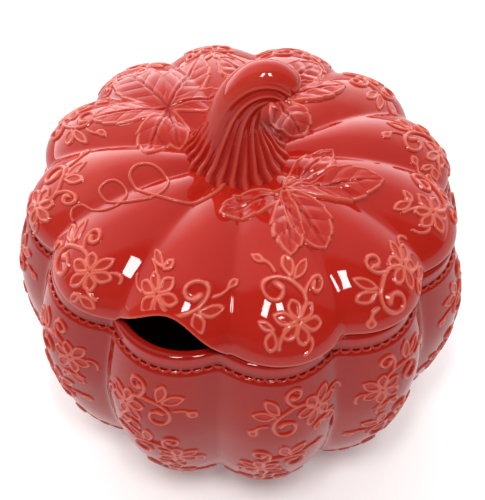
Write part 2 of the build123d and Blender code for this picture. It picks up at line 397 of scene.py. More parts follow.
def smooth_path(points, count):
    """A smooth curve through points, evenly spaced along its length (Catmull-Rom)."""
    p = np.asarray(points, float)
    p = np.vstack([2 * p[0] - p[1], p, 2 * p[-1] - p[-2]])
    t = np.linspace(0, 1, 24, endpoint=False)[:, None]
    parts = []
    for a, b, c, d in zip(p, p[1:], p[2:], p[3:]):
        square, cube = 2 * a - 5 * b + 4 * c - d, 3 * b - a - 3 * c + d
        parts.append(0.5 * (2 * b + (c - a) * t + square * t**2 + cube * t**3))
    return evenly(np.vstack(parts + [p[-2:-1]]), count)


def rib_up(piece, turn_degrees, outer, drop=0.0):
    """Runs the rib tree on a turned form; returns the ribbed piece."""
    values = {"Turn": turn_degrees, "Outer_Radius": outer * MM, "Drop": drop * MM}
    return run_tree(piece, rib_tree, Glaze=piece.data.materials[0], **values)


# %% [markdown]
# ## The bowl
# The belly is a full curve, flatter than a circle low down, like a pumpkin that has settled. It runs
# up to a shoulder, where a border of beads hides the joint with the upright lip.

# %% Bowl profile
BELLY_Z, SHOULDER_R, FLOOR_R, BELLY_ROUND = 97.0, 116.5, 68.0, 2.27


def bowl_curve(count=90):
    """(crest radius, z) from the edge of the underside up to the shoulder."""
    power = 2 / BELLY_ROUND
    a = np.linspace(math.pi / 2, 0, count)
    low_r = FLOOR_R + (BELLY_R - FLOOR_R) * np.cos(a) ** power
    low_z = BELLY_Z - (BELLY_Z - FOOT_H) * np.sin(a) ** power
    up = np.linspace(0, 1, count // 3)[1:]
    high_r = SHOULDER_R + (BELLY_R - SHOULDER_R) * np.sin(math.pi / 2 * (1 - up))
    high_z = BELLY_Z + (SHOULDER_Z - BELLY_Z) * up
    return np.column_stack([np.append(low_r, high_r), np.append(low_z, high_z)])


def inset(profile, distance):
    """The profile moved inwards along its normal."""
    step = np.gradient(profile, axis=0)
    step /= np.linalg.norm(step, axis=1)[:, None]
    return profile + distance * np.column_stack([-step[:, 1], step[:, 0]])


bowl_outer = evenly(bowl_curve(), 76)
inner_curve = inset(bowl_outer, BOWL_WALL)
inner_floor = FOOT_H + BOWL_WALL
inner_curve = inner_curve[inner_curve[:, 1] > inner_floor + 2]
MOUTH_R = LIP_R - LIP_WALL
inner_foot = [(30, inner_floor), (48, inner_floor + 0.4)]
inner_mouth = [(MOUTH_R + 0.6, SHOULDER_Z - 6), (MOUTH_R, SHOULDER_Z)]
bowl_inner = smooth_path([*inner_foot, *inner_curve[2:-5:8], *inner_mouth], 46)[::-1]
print("bowl profile rows:", len(bowl_outer) + len(bowl_inner))

# %% [markdown]
# The wall is one closed profile: the underside, the outside, the mouth, the inside and the floor. Turned
# on 720 columns, it has 60 to a rib, enough for a crease to be a smooth valley when the tree sinks it.

# %% Bowl wall
floor_rows = [(0, FOOT_H), (20, FOOT_H), (40, FOOT_H), (58, FOOT_H)]
bowl_profile = np.vstack([floor_rows, bowl_outer, bowl_inner, [(15, inner_floor), (0, inner_floor)]])
BOWL_SHADE_TONE = -0.4  # painted shade: the bowl is darker, as it gets less light than the lid
bowl_wall = turn("bowl_wall_glazed", bowl_profile, red_glaze, lift=BOWL_SHADE_TONE)
bowl_wall = rib_up(bowl_wall, 0.0, BELLY_R)
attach(bowl_wall, "bowl")
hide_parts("bowl_wall")
print("bowl wall:", len(bowl_wall.data.polygons), "faces")

# %% [markdown]
# The lip is a rounded band. Its top edge is darker, painted shade of the gap under the lid's edge, and its
# lower part is darker too. The foot ring is wiped clean before firing, or it would stick to the kiln shelf,
# so it is bare matt clay.


# %% Lip and foot ring
def rounded(corners, radius, steps=6):
    """A closed profile with each corner replaced by an arc of about this radius."""
    p = np.asarray(corners, float)
    out = []
    for before, corner, after in zip(np.roll(p, 1, axis=0), p, np.roll(p, -1, axis=0)):
        to_before, to_after = before - corner, after - corner
        reach = min(radius, 0.45 * np.linalg.norm(to_before), 0.45 * np.linalg.norm(to_after))
        start = corner + to_before / np.linalg.norm(to_before) * reach
        stop = corner + to_after / np.linalg.norm(to_after) * reach
        for t in np.linspace(0, 1, steps):
            out.append((1 - t) ** 2 * start + 2 * t * (1 - t) * corner + t**2 * stop)
    return np.array(out)


lip_corners = [
    (MOUTH_R, SHOULDER_Z - 0.5),
    (MOUTH_R, RIM_Z),
    (LIP_R - 0.4, RIM_Z),
    (LIP_R + 0.3, SHOULDER_Z + 4),
    (LIP_R + 1.2, SHOULDER_Z - 0.5),
]
lip_profile = rounded(lip_corners, 2.2)
# Painted shade: the lip's top edge is darkened as the shadow in the gap under the lid.
painted_gap_shade = 0.5 * np.clip(lip_profile[:, 1] - RIM_Z + 1.5, 0, 1)
dark_foot = 0.8 * np.clip((SHOULDER_Z + 4.0 - lip_profile[:, 1]) / 1.5, 0, 1)
lip_lift = -0.1 - painted_gap_shade - dark_foot
bowl_lip = turn("bowl_lip_glazed", lip_profile, red_glaze, closed=True, lift=lip_lift)
bowl_lip = rib_up(bowl_lip, 0.0, BELLY_R)
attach(bowl_lip, "bowl")
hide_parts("bowl_lip")


def make_bare_clay():
    material, tree, shader, place = new_material("bare_foot_clay")
    speck = noise(tree, place, 900.0, 4.0)
    colour = ramp(tree, speck, [(0.35, (0.62, 0.53, 0.42)), (0.6, (0.84, 0.78, 0.68))])
    bump = add(tree, "ShaderNodeBump", [("Height", speck), ("Strength", 0.5), ("Distance", 0.0003)])
    connect(tree, shader, [("Base Color", colour), ("Normal", bump), ("Roughness", 0.85)])
    return material


bare_clay = make_bare_clay()
foot_corners = [
    (FOOT_R, FOOT_H + 0.6),
    (FOOT_R - 1.2, 0),
    (FOOT_R - FOOT_WALL + 1.2, 0),
    (FOOT_R - FOOT_WALL, FOOT_H + 0.6),
]
foot_ring = turn("foot_ring_bare", rounded(foot_corners, 1.6), bare_clay, columns=240, closed=True)
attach(foot_ring, "bowl")
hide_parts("foot_ring")
print("lip and foot:", len(bowl_lip.data.polygons), len(foot_ring.data.polygons), "faces")

# %% [markdown]
# ## The lid
# The lid is turned and ribbed the same way, but its edge rises into an arch over the ladle notch. A
# cut would leave a hard edge, so instead every ring is shifted: at each angle the profile starts at the
# height of the edge there, and a rounded band joins the outside to the inside all the way round.

# %% Lid profile
DOME_H, DOME_ROUND, DIMPLE_DEPTH, DIMPLE_R = 34.5, 2.57, 11.0, 41.0
NOTCH_H, NOTCH_HALF, NOTCH_SHIFT = 15.5, 28.0, -1.5
EDGE_ROUND = 1.5  # how far the rounded edge hangs below the walls' ends
OUTER_ROWS, INNER_ROWS = 64, 34  # rows of points up the lid's outside and inside


def dome_z(radius):
    share = np.clip(np.asarray(radius, float) / LID_R, 0, 1)
    dome = DOME_H * np.sqrt(1 - share**DOME_ROUND)
    return RIM_Z + dome - DIMPLE_DEPTH * np.exp(-((share * LID_R / DIMPLE_R) ** 2))


dome_r = LID_R * np.sin(np.linspace(math.pi / 2, 0, 400))
lid_curve = evenly(np.column_stack([dome_r, dome_z(dome_r)]), 300)
lid_inner_curve = inset(lid_curve, LID_WALL)
lid_inner_curve = lid_inner_curve[lid_inner_curve[:, 0] > 0.5]


def notch_height(x):
    """Height of the lid's edge above the rim, at a sideways distance from the notch's middle."""
    return NOTCH_H * np.clip(1 - ((x - NOTCH_SHIFT) / NOTCH_HALF) ** 2, 0, 1)


def start_at(curve, height, rows):
    """Points of a rising profile from this height to its inner end, closer together at the edge."""
    run = lengths(curve)
    rising = np.maximum.accumulate(curve[:, 1])
    first = np.interp(height, rising[: len(rising) // 3], run[: len(rising) // 3])
    return points_at(curve, first + (run[-1] - first) * np.linspace(0, 1, rows) ** 1.25)


def edge_band(outer, inner, steps=9):
    """The rounded edge from the outside's first point down round to the inside's."""
    t = np.linspace(0, math.pi, steps)[1:-1]
    share = (1 - np.cos(t)) / 2
    r = outer[0] + (inner[0] - outer[0]) * share
    z = outer[1] + (inner[1] - outer[1]) * share - EDGE_ROUND * np.sin(t)
    return np.column_stack([r, z])


print("lid's crest height and edge at the notch:", round(float(dome_z(60)), 1), notch_height(0), "mm")

# %% [markdown]
# The columns stand closer together at the notch, where the edge is steep. The edge itself gets the most
# lift, a painted highlight along its rounded rows.

# %% Lid wall
near_notch = np.arange(-18, 18, 0.22)
elsewhere = np.arange(18, 342, 0.6)
lid_angles = np.concatenate([near_notch, elsewhere])
columns = []
for angle in lid_angles:
    from_front = max(-90, min(90, (angle + 180) % 360 - 180))
    across = LID_R * float(rib_factor(from_front, SOFT_RIM)) * math.sin(math.radians(from_front))
    edge = RIM_Z + EDGE_ROUND + float(notch_height(across))
    outer = start_at(lid_curve, edge, OUTER_ROWS)
    inner = start_at(lid_inner_curve, edge, INNER_ROWS)
    columns.append(np.vstack([outer[::-1], edge_band(outer[0], inner[0]), inner]))
rings = turned_rings(np.stack(columns, axis=1), lid_angles + LID_TURN)
# Painted highlight: the rows round the lid's edge are made pale.
from_edge = np.abs(np.arange(len(rings)) - OUTER_ROWS + 0.5)
painted_edge_highlight = np.repeat(0.7 * np.clip(1 - from_edge / 2.5, 0, 1), len(lid_angles))
faces = grid_faces(len(rings), len(lid_angles), wrap_columns=True)
lid_wall = tidy_mesh(new_piece("lid_wall_glazed", rings.reshape(-1, 3), faces, red_glaze, painted_edge_highlight))
lid_wall = rib_up(lid_wall, LID_TURN, LID_R, LID_DROP)
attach(lid_wall, "lid")
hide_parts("lid_wall")
print("lid wall:", len(lid_wall.data.polygons), "faces")

# %% [markdown]
# Under the lid a plain round flange keeps it from sliding off. It stops short on both sides of the
# notch, so it is a ring swept part of the way round, with closed ends.


# %% Flange
def part_turn(name, profile, start, stop):
    """A closed profile carried round part of a turn, a column to each degree, with flat ends."""
    angles = np.arange(start, stop + 0.5)
    rings, count = turned_rings(profile, angles), len(angles)
    faces = grid_faces(len(rings), count, wrap_rows=True)
    first = np.arange(len(rings)) * count
    faces += [first.tolist(), (first + count - 1)[::-1].tolist()]
    return tidy_mesh(new_piece(name, rings.reshape(-1, 3), faces, red_glaze, np.zeros(len(rings) * count)))


flange_gap = math.degrees(math.asin(0.265))  # half the gap at the notch, as the CAD cuts it
flange_top = float(dome_z(FLANGE_R)) - LID_WALL - 4
flange_corners = [
    (FLANGE_R, flange_top),
    (FLANGE_R, FLANGE_LOW),
    (FLANGE_R - FLANGE_WALL, FLANGE_LOW),
    (FLANGE_R - FLANGE_WALL, flange_top + 1.5),
]
flange_ends = LID_TURN + flange_gap, 360 + LID_TURN - flange_gap
flange = part_turn("lid_flange_glazed", rounded(flange_corners, 1.4), *flange_ends)
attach(flange, "lid")
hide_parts("lid_flange")
print(f"flange from {FLANGE_LOW:.1f} to {flange_top:.1f} mm, gap {2 * flange_gap:.0f} degrees")

# %% [markdown]
# ## Where a relief lies
# Reliefs are moulded flat and laid on the curved wall. Two maps carry a flat drawing to the surface:
# one for a sprig on a rib (across and up, in millimetres along the wall), one for the leaves, which
# are drawn as seen from above. Both give the point on the wall and the direction straight out of it.


# %% Maps from a flat drawing to the wall
def lobed_point(radius, z, angle, turn_degrees, outer):
    """Points of the ribbed wall, from crest radius, height and angle in degrees."""
    r = radius * rib_factor(angle - turn_degrees, softness(radius, outer))
    if outer == LID_R:
        z = z - lid_drop(radius, angle - turn_degrees)
    return around(r, z, angle)


def outward(point_at, u, v, step=0.05):
    """Points of a map and the unit normals of its surface, away from the inside."""
    du = point_at(u + step, v) - point_at(u - step, v)
    dv = point_at(u, v + step) - point_at(u, v - step)
    normal = np.cross(du, dv)
    return point_at(u, v), normal / np.linalg.norm(normal, axis=-1, keepdims=True)


class RibMap:
    """A sprig's flat coordinates on one rib: u to the side, v along the wall from its origin."""

    def __init__(self, profile, rib, turn_degrees, outer, origin):
        self.run, self.profile = lengths(profile), profile
        self.turn, self.outer = turn_degrees, outer
        self.middle, self.origin = rib * 360.0 / RIBS + turn_degrees, origin

    def __call__(self, u, v):
        s = v + self.origin
        radius = np.interp(s, self.run, self.profile[:, 0])
        z = np.interp(s, self.run, self.profile[:, 1])
        angle = self.middle + np.degrees(u / radius)
        return lobed_point(radius, z, angle, self.turn, self.outer)


def lid_from_above(x, y):
    """The lid's surface under a plan position in the lid's own, unturned frame."""
    plan = np.hypot(x, y)
    angle = np.degrees(np.arctan2(x, -y))
    radius = plan
    for _ in range(4):
        radius = plan / rib_factor(angle, softness(radius, LID_R))
    radius = np.minimum(radius, LID_R)
    return around(plan, dome_z(radius) - lid_drop(radius, angle), angle + LID_TURN)


bowl_rise = evenly(bowl_outer, 400)
SHOULDER_RUN = float(lengths(bowl_rise)[-1])
print("wall length up the bowl:", round(SHOULDER_RUN, 1), "mm")

# %% [markdown]
# ## How a relief is raised
# A drawing is a set of strokes: a line, its half width and its height. The height at any point is the
# highest stroke over it, rounded like a bead of slip and eased into the wall, as glaze fills the corner.
# Only the raised part of the grid is kept, and its border dips just under the wall, so nothing shows.

# %% Strokes and relief patches
SINK = 0.05  # how far the border of a patch dips under the wall


def line_distance(points, line):
    """Distance from each point to a polyline."""
    best = np.full(len(points), 1e9)
    for a, b in zip(line, line[1:]):
        d = b - a
        t = np.clip(((points - a) @ d) / max(d @ d, 1e-9), 0, 1)
        best = np.minimum(best, np.linalg.norm(points - (a + t[:, None] * d), axis=1))
    return best


def inside_line(points, line):
    """Whether each point is inside a closed polyline, by counting crossings."""
    hit = np.zeros(len(points), bool)
    for a, b in zip(line, np.roll(line, -1, axis=0)):
        if a[1] != b[1]:
            crosses = (points[:, 1] < a[1]) != (points[:, 1] < b[1])
            at = a[0] + (points[:, 1] - a[1]) * (b[0] - a[0]) / (b[1] - a[1])
            hit ^= crosses & (points[:, 0] < at)
    return hit


def raise_strokes(points, strokes):
    """Height and lift over a set of strokes (line, half width, height, fill or None)."""
    height = np.zeros(len(points))
    lift = np.zeros(len(points))
    for line, half, top, fill in strokes:
        reach = half * 1.5
        low, high = line.min(0) - reach, line.max(0) + reach
        near = np.all((points >= low) & (points <= high), axis=1)
        if not near.any():
            continue
        here = points[near]
        q = np.clip(line_distance(here, line) / reach, 0, 1)
        ridge = (1 - q**2) ** 2
        rise = top * ridge
        # Pale on the raised top, where the glaze runs thin; darker at the foot, painted shade where the
        # stroke meets the wall.
        tone = np.clip(ridge * 1.15 - 0.3, -0.3, 0.8)
        if fill is not None:
            within = inside_line(here, line)
            rise = np.where(within, np.maximum(rise, fill), rise)
            tone = np.where(within, np.maximum(tone, 0.1), tone)
        better = rise > height[near]
        height[near] = np.where(better, rise, height[near])
        lift[near] = np.where(better, tone, lift[near])
    return height, lift


def patch(surface, low, high, step, raise_at):
    """Points, faces and lift of the raised part of a grid laid on a surface."""
    u = np.arange(low[0], high[0] + step, step)
    v = np.arange(low[1], high[1] + step, step)
    flat = np.stack(np.meshgrid(u, v), axis=-1).reshape(-1, 2)
    height, lift = raise_at(flat)
    quads = np.array(grid_faces(len(v), len(u)))
    quads = quads[(height[quads] > SINK * 0.5).any(axis=1)]
    used, quads = np.unique(quads, return_inverse=True)
    place, normal = outward(surface, flat[used, 0], flat[used, 1])
    points = place + normal * (height[used] - SINK)[:, None]
    return points, quads.reshape(-1, 4), lift[used]


def join_patches(name, patches):
    """One glazed piece from several patches."""
    points, quads, lifts = zip(*patches)
    starts = np.cumsum([0, *map(len, points)])
    faces = np.vstack([part + start for part, start in zip(quads, starts)]).tolist()
    return new_piece(name, np.vstack(points), faces, red_glaze, np.concatenate(lifts))


test_line = np.array([(0.0, 0.0), (10.0, 0.0)])
test = raise_strokes(np.array([(5.0, 0.0), (5.0, 1.0)]), [(test_line, 1.0, 1.0, None)])
print("height on a line and one half width beside it:", test[0])

# %% [markdown]
# ## The sprig
# Every rib carries the same sprig, turned its own way: a six-petalled flower, and a stalk with a small
# scroll and two leaves on one side, a large scroll on the other, and a bud at its end.


# %% Drawing the sprig
def rotate(points, degrees):
    a = math.radians(degrees)
    return np.asarray(points) @ np.array([[math.cos(a), math.sin(a)], [-math.sin(a), math.cos(a)]])


def petal_line(base, degrees, length, width, fullness=0.75, count=22):
    """A closed drop shape from its base, leaning degrees anticlockwise from straight up."""
    t = np.linspace(0, 1, count)
    half = width / 2 * np.sin(math.pi * t ** (1 / fullness)) ** 0.8
    side = np.column_stack([half, t * length])
    loop = np.vstack([side, side[::-1][1:] * [-1, 1]])
    return rotate(loop, degrees) + np.asarray(base)


def curl_line(start, degrees, length, bend, power=1.7, count=40):
    """A line that starts at degrees from straight up and curls by bend degrees, tighter and tighter."""
    t = np.linspace(0, 1, count)
    heading = np.radians(degrees + bend * t**power)
    step = length / (count - 1)
    x = start[0] - np.concatenate([[0], np.cumsum(np.sin(heading[:-1]) * step)])
    y = start[1] + np.concatenate([[0], np.cumsum(np.cos(heading[:-1]) * step)])
    return np.column_stack([x, y])


FINE, BOLD = 0.92, 1.12  # half widths of the lines
LOW_LINE, HIGH_LINE = 1.0, 1.35  # heights of the lines
PETALS = 6


def fine(line, fill=None):
    """A stroke of the fine line: (line, half width, height, fill or None)."""
    return line, FINE, LOW_LINE, fill


def bold(line, swell=1.0):
    """A stroke of the bold line, or a thicker knob of it."""
    return line, BOLD * swell, HIGH_LINE, None


def draw_sprig():
    strokes = []
    for petal in range(PETALS):
        degrees = petal * 360.0 / PETALS + 12
        size = 10.4 + 1.0 * math.sin(petal * 2.1)
        base = rotate([(0, 1.2)], degrees)[0]
        strokes.append(fine(petal_line(base, degrees, size - 1.2, 5.2), 0.25))
    stalk = smooth_path([(1.5, 2.5), (4.6, 8), (3.4, 13.5), (-0.5, 18.5), (-2.4, 20.5)], 24)
    big = curl_line((3.0, 14.0), 34, 42, 400)
    small = curl_line((4.2, 10.5), -22, 27, -390)
    return strokes + [
        bold(stalk), bold(big), bold(big[-3:], 1.7), bold(small), bold(small[-3:], 1.6),
        fine(petal_line((-0.8, 21.5), 8, 10.5, 5.0, 0.9), 0.35),
        fine(petal_line((0.6, 20.0), -50, 10.0, 5.0, 0.9), 0.35),
        fine(smooth_path([(-8, 24.5), (-9.5, 28), (-12.5, 30.5)], 10)),
        fine(petal_line((-12.2, 29.6), 62, 5.2, 3.4, 0.8), 0.9),
        fine(curl_line((-3, -1), 118, 13, 60, 1.0)),
        fine(petal_line((-12.0, -4.0), 168, 9.0, 4.6, 0.85), 0.35),
        fine(petal_line((-11.5, -3.0), 70, 6.5, 3.2, 0.85), 0.35),
        fine(curl_line((5, -8), -150, 9, -110, 1.0)),
    ]


SPRIG = draw_sprig()
print("strokes in a sprig:", len(SPRIG))

# %% [markdown]
# A potter takes one mould and turns it on each rib by eye. The tables say where the flower sits and how
# far the sprig is turned. On the front rib the notch cuts it off.


# %% Laying the sprigs
def laid_strokes(turn_degrees, mirrored, flower):
    strokes = []
    for line, half, top, fill in SPRIG:
        line = line * [-1, 1] if mirrored else line
        strokes.append((rotate(line, turn_degrees) + np.asarray(flower), half, top, fill))
    return strokes


SPRIG_STEP = 0.42  # spacing of a sprig's grid


def sprig_patch(surface, flower, turn_degrees, mirrored, keep=None, tone=0.0):
    strokes = laid_strokes(turn_degrees, mirrored, flower)
    low = np.min([line.min(0) for line, *_ in strokes], axis=0) - 1.5
    high = np.max([line.max(0) for line, *_ in strokes], axis=0) + 1.5

    def raise_at(points):
        height, lift = raise_strokes(points, strokes)
        if keep is not None:
            height = height * keep(points)
        return height, lift + tone

    return patch(surface, low, high, SPRIG_STEP, raise_at)


# Each rib's flower (across, up the wall from the rim) and the sprig's turn in degrees.
LID_SPRIGS = (
    ((-10, 28.5), -99), ((4, 22), -4), ((12.5, 23), 92), ((-3, 25.5), -103), ((-8, 17), -35), ((8, 22), 60),
    ((-8, 22), -80), ((5, 19), 10), ((10, 22), 75), ((-8, 20), -60), ((6, 15), 22), ((6.5, 22), 84),
)


def above_notch(points):
    """Fades a relief out just above the notch's edge, on the front rib."""
    place = RibMap(lid_curve, 0, LID_TURN, LID_R, 0.0)(points[:, 0], points[:, 1])
    turned = math.radians(LID_TURN)
    across = place[:, 0] * math.cos(turned) + place[:, 1] * math.sin(turned)
    edge = RIM_Z + EDGE_ROUND + notch_height(across)
    return np.clip((place[:, 2] - edge - 1.0) / 1.5, 0, 1)


for rib, (flower, turned) in enumerate(LID_SPRIGS):
    surface = RibMap(lid_curve, rib, LID_TURN, LID_R, 0.0)
    keep = above_notch if rib == 0 else None
    node = f"lid_sprig_{rib + 1:02d}"
    laid = join_patches(node + "_glazed", [sprig_patch(surface, flower, turned, False, keep)])
    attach(laid, "lid")
    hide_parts(node)
print("lid sprigs:", len(LID_SPRIGS), "of about", len(laid.data.polygons), "faces")

# %% [markdown]
# The bowl has three rows. They repeat every fourth rib, or every second in the lowest row, which is
# half hidden where the bowl turns under and belongs to the lower row's nodes.

# %% Bowl sprigs
# Flower, turn in degrees and whether the sprig is mirrored, for rib after rib.
UPPER_SPRIGS = (
    ((-13, -37), -61, True), ((18, -30), 85, False), ((-11, -36), -54, True), ((14, -34), 72, False),
)
LOWER_SPRIGS = (
    ((13, -76), 48, False), ((-9, -80), -38, True), ((10, -78), 62, False), ((-12, -76), -50, True),
)
LOW_SPRIGS = ((-8, -122), -52, True), ((9, -120), 58, False)
rim_origin = SHOULDER_RUN + RIM_Z - SHOULDER_Z
for rib in range(RIBS):
    surface = RibMap(bowl_rise, rib, 0.0, BELLY_R, rim_origin)
    rows = {
        "upper": [UPPER_SPRIGS[rib % len(UPPER_SPRIGS)]],
        "lower": [LOWER_SPRIGS[rib % len(LOWER_SPRIGS)], LOW_SPRIGS[rib % len(LOW_SPRIGS)]],
    }
    for row, sprigs in rows.items():
        node = f"bowl_{row}_sprig_{rib + 1:02d}"
        # The bowl's painted shade, at half strength on its sprigs.
        patches = [sprig_patch(surface, *sprig, tone=BOWL_SHADE_TONE / 2) for sprig in sprigs]
        laid = join_patches(node + "_glazed", patches)
        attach(laid, "bowl")
        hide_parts(node)
print("bowl sprigs:", 3 * RIBS)

# %% [markdown]
# ## The leaves
# Three pumpkin leaves lie on the dome. Each is a thin plate with a raised, toothed rim, a cut midrib
# and slanting side veins. A leaf is drawn by rule: blades leave one centre, each with a length, a width
# and a direction; the height of a point follows from how far it is from the blade's edge and midrib.

# %% Blades
BLADE_AT = (0, 0.12, 0.3, 0.5, 0.68, 0.82, 0.93, 1.0)
BLADE_HALF = (0.22, 0.42, 0.78, 1.0, 0.95, 0.7, 0.36, 0.0)
SIDE_VEIN_PITCH, TOOTH, TOOTH_PITCH = 9.5, 1.3, 7.5
PLATE = 1.0  # thickness of a leaf


def bump(x):
    return np.clip(1 - x**2, 0, 1) ** 2


def blade_field(points, centre, length, width, degrees):
    """For each point: depth inside the blade's edge, distance along it and distance from its midrib."""
    local = rotate(points - np.asarray(centre), -degrees)
    s, w = local[:, 0], local[:, 1]
    share = s / length
    half = width / 2 * np.interp(share, BLADE_AT, BLADE_HALF)
    teeth = (s / TOOTH_PITCH + 0.25 * np.sign(w)) % 1.0
    half = half + TOOTH * (teeth - 0.4) * np.clip(share * 4 - 1.6, 0, 1) * np.clip((1 - share) * 6, 0, 1)
    past = np.maximum(-s, 0) + np.maximum(s - length, 0)
    depth = np.maximum(half - np.abs(w) - past * 1.5, -9.0)
    return depth, s, w


def blade_relief(depth, s, w, length, plate, rim, pleat):
    """Height and lift inside one blade."""
    edge = np.clip((depth + 0.5) / 1.2, 0, 1)
    edge = edge * edge * (3 - 2 * edge)
    ridge = bump((depth - 0.6) / 1.15)
    fade = np.clip(s / length * 6, 0, 1) * np.clip((1 - s / length) * 2.5, 0, 1)
    groove = bump(w / 0.75) * np.clip((1 - s / length) * 2.5, 0, 1)
    flank = bump((np.abs(w) - 1.5) / 1.2) * fade
    side = ((s - 0.9 * np.abs(w)) / SIDE_VEIN_PITCH + 0.2 * np.sign(w)) % 1.0
    inner = np.clip((depth - 1.6) / 2.5, 0, 1) * fade
    side_groove = bump((side - 0.5) / 0.075) * inner
    swell = pleat * np.cos(side * 2 * math.pi) * np.clip((depth - 0.8) / 3, 0, 1) * fade
    height = plate * edge + rim * ridge - 0.5 * groove * edge + 0.25 * flank - 0.22 * side_groove + swell
    tone = 0.05 * edge + 0.75 * ridge - 0.6 * groove + 0.22 * flank - 0.3 * side_groove
    return np.where(depth > -0.5, np.maximum(height, 0), 0), np.clip(tone, -1, 0.8)


# Small curls that cross where separate blades meet.
CENTRE_CURLS = (
    curl_line((1, 1), 60, 12, -150, 1.2),
    curl_line((0, -1), 150, 11, 130, 1.2),
    curl_line((2, 0), -20, 10, -120, 1.2),
)


def raise_leaf(points, centre, blades, joined):
    """A whole leaf: joined blades share one rim, separate ones keep their own and overlap."""
    fields = [blade_field(points, centre, *blade) for blade in blades]
    if joined:
        depths = np.stack([depth for depth, _, _ in fields])
        top = depths.argmax(axis=0)
        s, w = (np.take_along_axis(np.stack([f[k] for f in fields]), top[None], 0)[0] for k in (1, 2))
        depth = np.log(np.exp(depths * 1.2).sum(axis=0)) / 1.2
        length = np.array([blade[0] for blade in blades])[top]
        return blade_relief(depth, s, w, length, PLATE, 0.35, 0.1)
    curls = [(line + np.asarray(centre), 0.9, 1.9, None) for line in CENTRE_CURLS]
    height, tone = raise_strokes(points, curls)
    for order, ((depth, s, w), blade) in enumerate(zip(fields, blades)):
        rise, shade = blade_relief(depth, s, w, blade[0], PLATE + 0.2 * order, 0.6, 0.3)
        over = rise > height
        height, tone = np.where(over, rise, height), np.where(over, shade, tone)
    return height, tone


# %% [markdown]
# The left leaf is one maple-like outline, so its blades are joined. The other two are sprays of separate
# blades that overlap, each a little higher than the one before.

# %% The three leaves
# Centre, blades (length, width, direction from +X), and whether the blades are joined in one outline.
LEAVES = {
    "leaf_left": (
        (-48.6, 16.5),
        ((42, 21, -153), (54, 27, 144), (50, 26, 91), (34, 20, 40), (38, 19, -86), (31, 16, -58)),
        True,
    ),
    "leaf_right": ((2, 45), ((34, 21, -46), (46, 23, 151), (44, 22, 72), (41, 21, 32)), False),
    "leaf_front": (
        (27.6, -20.7),
        ((36, 18, -133), (39, 18, 67), (42, 16, -70), (40, 21, -44), (50, 22, 26)),
        False,
    ),
}
LEAF_STEP = 0.45
for name, (centre, blades, joined) in LEAVES.items():
    reach = max(blade[0] for blade in blades) + 2
    low, high = np.asarray(centre) - reach, np.asarray(centre) + reach
    raised = patch(
        lid_from_above, low, high, LEAF_STEP, lambda points: raise_leaf(points, centre, blades, joined)
    )
    leaf = join_patches(name + "_glazed", [raised])
    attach(leaf, "lid")
    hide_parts(name)
    print(name, len(leaf.data.polygons), "faces")

# %% [markdown]
# ## The tendril
# A thin vine leaves the foot of the stem, makes two loops and ends in a hook. It is a rolled string of
# clay pressed on the dome, so a Geometry Nodes tree sweeps a round section along its line and thins it
# towards the end.


# %% Sweeping a string of clay
def glazed_string(tree, curve, section, lift, scale=1.0):
    """A section swept along a curve, shaded smooth, with its lift stored."""
    links = [("Curve", curve), ("Profile Curve", section), ("Scale", scale), ("Fill Caps", True)]
    smooth = add(tree, "GeometryNodeSetShadeSmooth", [(0, add(tree, "GeometryNodeCurveToMesh", links))])
    stored = [("Geometry", smooth), ("Name", "lift"), ("Value", lift)]
    return add(tree, "GeometryNodeStoreNamedAttribute", stored, data_type="FLOAT", domain="POINT")


def make_string_tree():
    inputs = [("Radius", "Float", 0.001), ("End Share", "Float", 0.6), ("Sides", "Int", 12)]
    tree, entry = new_tree("clay string", inputs)
    share = Number(tree, add(tree, "GeometryNodeSplineParameter", output="Factor"))
    taper = 1.0 - share * (1.0 - Number(tree, entry["End Share"]))
    circle = [("Resolution", entry["Sides"]), ("Radius", entry["Radius"])]
    ring = add(tree, "GeometryNodeCurvePrimitiveCircle", circle)
    return end_tree(tree, entry, glazed_string(tree, entry[0], ring, 0.45, taper))


def curve_object(name, points, closed=False):
    """A poly curve from points in millimetres."""
    data = bpy.data.curves.new(name, "CURVE")
    data.dimensions = "3D"
    spline = data.splines.new("POLY")
    spline.points.add(len(points) - 1)
    for point, place in zip(spline.points, points):
        point.co = (*(np.asarray(place) * MM), 1)
    spline.use_cyclic_u = closed
    return put(name, data)


TENDRIL = (
    (-2, -24), (-4, -33), (-10, -41.5), (-19, -46), (-31, -46.5), (-41, -43.5), (-47.5, -37.5), (-47, -31),
    (-41, -27.5), (-33, -29.5), (-28, -35), (-27.5, -42), (-31, -48), (-38, -52), (-46, -54), (-54, -53),
    (-59, -49), (-57.5, -44), (-53, -42), (-47, -44.5), (-44.5, -49.5), (-46, -55), (-51, -59), (-58, -59),
    (-65, -57.5), (-69, -60), (-68.5, -63.5), (-66, -65.5),
)
TENDRIL_R = 1.0
plan = smooth_path(TENDRIL, 260)
place, normal = outward(lid_from_above, plan[:, 0], plan[:, 1])
tendril = curve_object("tendril_glazed", place + normal * 0.15)
tendril = run_tree(tendril, make_string_tree(), Radius=TENDRIL_R * MM, End_Share=0.7, Glaze=red_glaze)
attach(tendril, "lid")
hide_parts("tendril")
print("tendril:", len(tendril.data.polygons), "faces")

# %% [markdown]
# ## The stem
# The handle is a pumpkin's stalk: a flared, fluted foot that narrows, bends over and ends bluntly. Its
# back is one broad smooth rib, and the flutes twist round to run up under the hook. It is swept by hand
# rather than by a tree, because the section changes all the way: the flutes' number stays the same, but
# their depth depends on both the place along the stem and the side of it.

# %% Stem sections
STEM_LEAN = 17.5 + LID_TURN  # plan direction in which the stem bends, from +X
STEM_BASE_Z = RIM_Z + 22.5
# Sideways shift, height above the base and radius, from below the foot to the tip.
STEM_LINE = (
    (-5.5, -6, 34.0), (-5.5, -1, 30.0), (-5.8, 4, 26.2), (-6, 10, 21.8), (-6.2, 18, 17.2), (-5.5, 27, 13.6),
    (-3.6, 36, 11.8), (0.0, 43.2, 11.0), (5.6, 48.4, 10.8), (12.0, 49.8, 10.2), (17.6, 47.2, 9.2),
    (21.0, 42.8, 8.2),
)
FLUTES = 24
STEM_ROWS, STEM_COLUMNS = 150, 304


